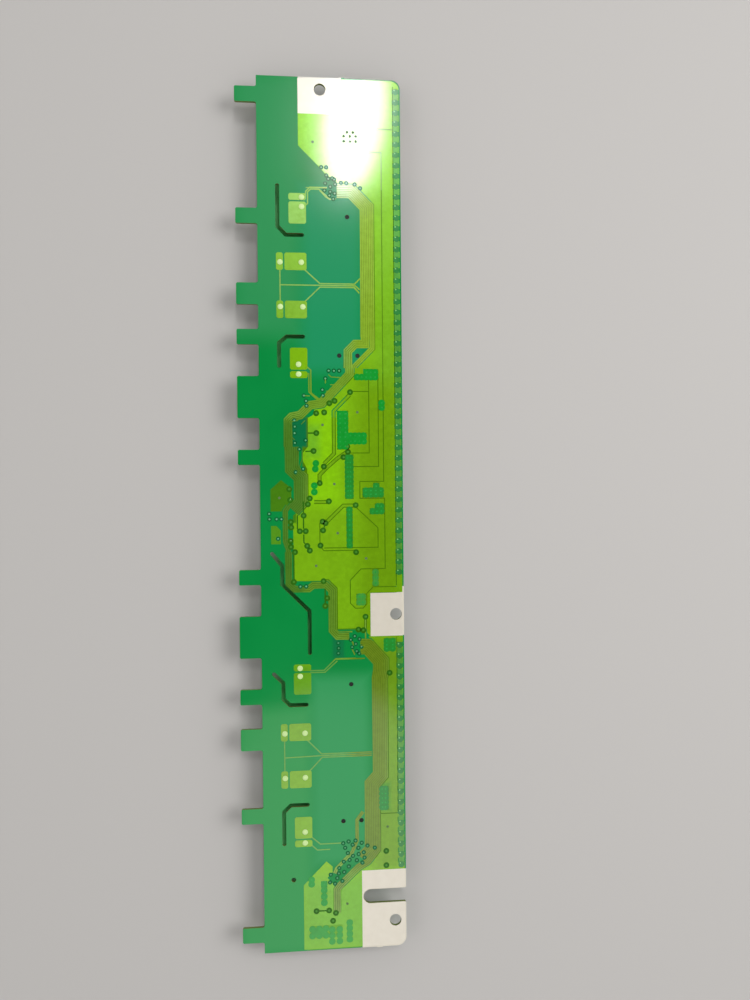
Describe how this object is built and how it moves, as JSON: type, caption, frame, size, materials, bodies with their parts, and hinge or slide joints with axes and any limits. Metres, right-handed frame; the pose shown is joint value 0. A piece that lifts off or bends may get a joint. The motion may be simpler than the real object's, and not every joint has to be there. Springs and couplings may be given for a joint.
{
  "type": "backlight inverter board",
  "caption": "Long narrow backlight inverter circuit board with lamp tabs on one edge, lying solder side up on its transformers.",
  "frame": {"origin": "middle of the overall outline on the plane that the transformer tops rest on", "axes": "+Z out of the solder side, +Y along the board, +X towards the edge with the screw lands, lamp tabs at -X"},
  "size_m": [0.0844, 0.4494, 0.0123],
  "materials": {
    "board_laminate": "glass-epoxy laminate under green solder mask, glossy",
    "masked_copper": "copper under green solder mask, glossy, seen as light green",
    "masked_copper_under": "component-side copper under green solder mask",
    "masked_tracks": "narrow copper tracks under green solder mask, olive green",
    "solder_coat": "solder-coated test land, bright",
    "tinned_land": "hot-air levelled solder on bare copper, satin cream",
    "contact_gold": "thin gold over nickel on the lamp contacts",
    "ferrite": "sintered ferrite, dark grey, matte",
    "bobbin_plastic": "black phenolic bobbin moulding",
    "primary_wire": "enamelled copper wire",
    "secondary_wire": "fine enamelled copper wire",
    "tin_plate": "tin-plated terminal",
    "can_aluminium": "drawn aluminium capacitor can",
    "base_plastic": "moulded capacitor base",
    "moulded_epoxy": "moulded epoxy package",
    "connector_nylon": "natural nylon connector",
    "fuse_ceramic": "white ceramic chip fuse",
    "capacitor_ceramic": "fired ceramic chip capacitor",
    "resistor_glaze": "glazed chip resistor"
  },
  "bodies": {
    "root": {"capacitor_bases": "base_plastic", "capacitor_cans": "can_aluminium", "chassis_lands": "tinned_land", "chip_capacitors": "capacitor_ceramic", "chip_end_caps": "tin_plate", "chip_resistors": "resistor_glaze", "circuit_board": "board_laminate", "comparator_ics": "moulded_epoxy", "comparator_ics_leads": "tin_plate", "connector_housing": "connector_nylon", "connector_pins": "tin_plate", "control_ic": "moulded_epoxy", "control_ic_leads": "tin_plate", "copper_pours": "masked_copper", "diode_leads": "tin_plate", "feedback_diodes": "moulded_epoxy", "fuse_bodies": "fuse_ceramic", "fuse_caps": "tin_plate", "hv_copper": "masked_copper_under", "lamp_contacts": "contact_gold", "power_mosfets": "moulded_epoxy", "power_mosfets_leads": "tin_plate", "sense_plates": "masked_copper", "signal_tracks": "masked_tracks", "test_lands": "solder_coat", "transformer_1_bobbin": "bobbin_plastic", "transformer_1_core": "ferrite", "transformer_1_primary": "primary_wire", "transformer_1_secondaries": "secondary_wire", "transformer_2_bobbin": "bobbin_plastic", "transformer_2_core": "ferrite", "transformer_2_primary": "primary_wire", "transformer_2_secondaries": "secondary_wire", "transformer_3_bobbin": "bobbin_plastic", "transformer_3_core": "ferrite", "transformer_3_primary": "primary_wire", "transformer_3_secondaries": "secondary_wire", "transformer_4_bobbin": "bobbin_plastic", "transformer_4_core": "ferrite", "transformer_4_primary": "primary_wire", "transformer_4_secondaries": "secondary_wire", "transformer_terminals": "tin_plate"}
  },
  "joints": []
}
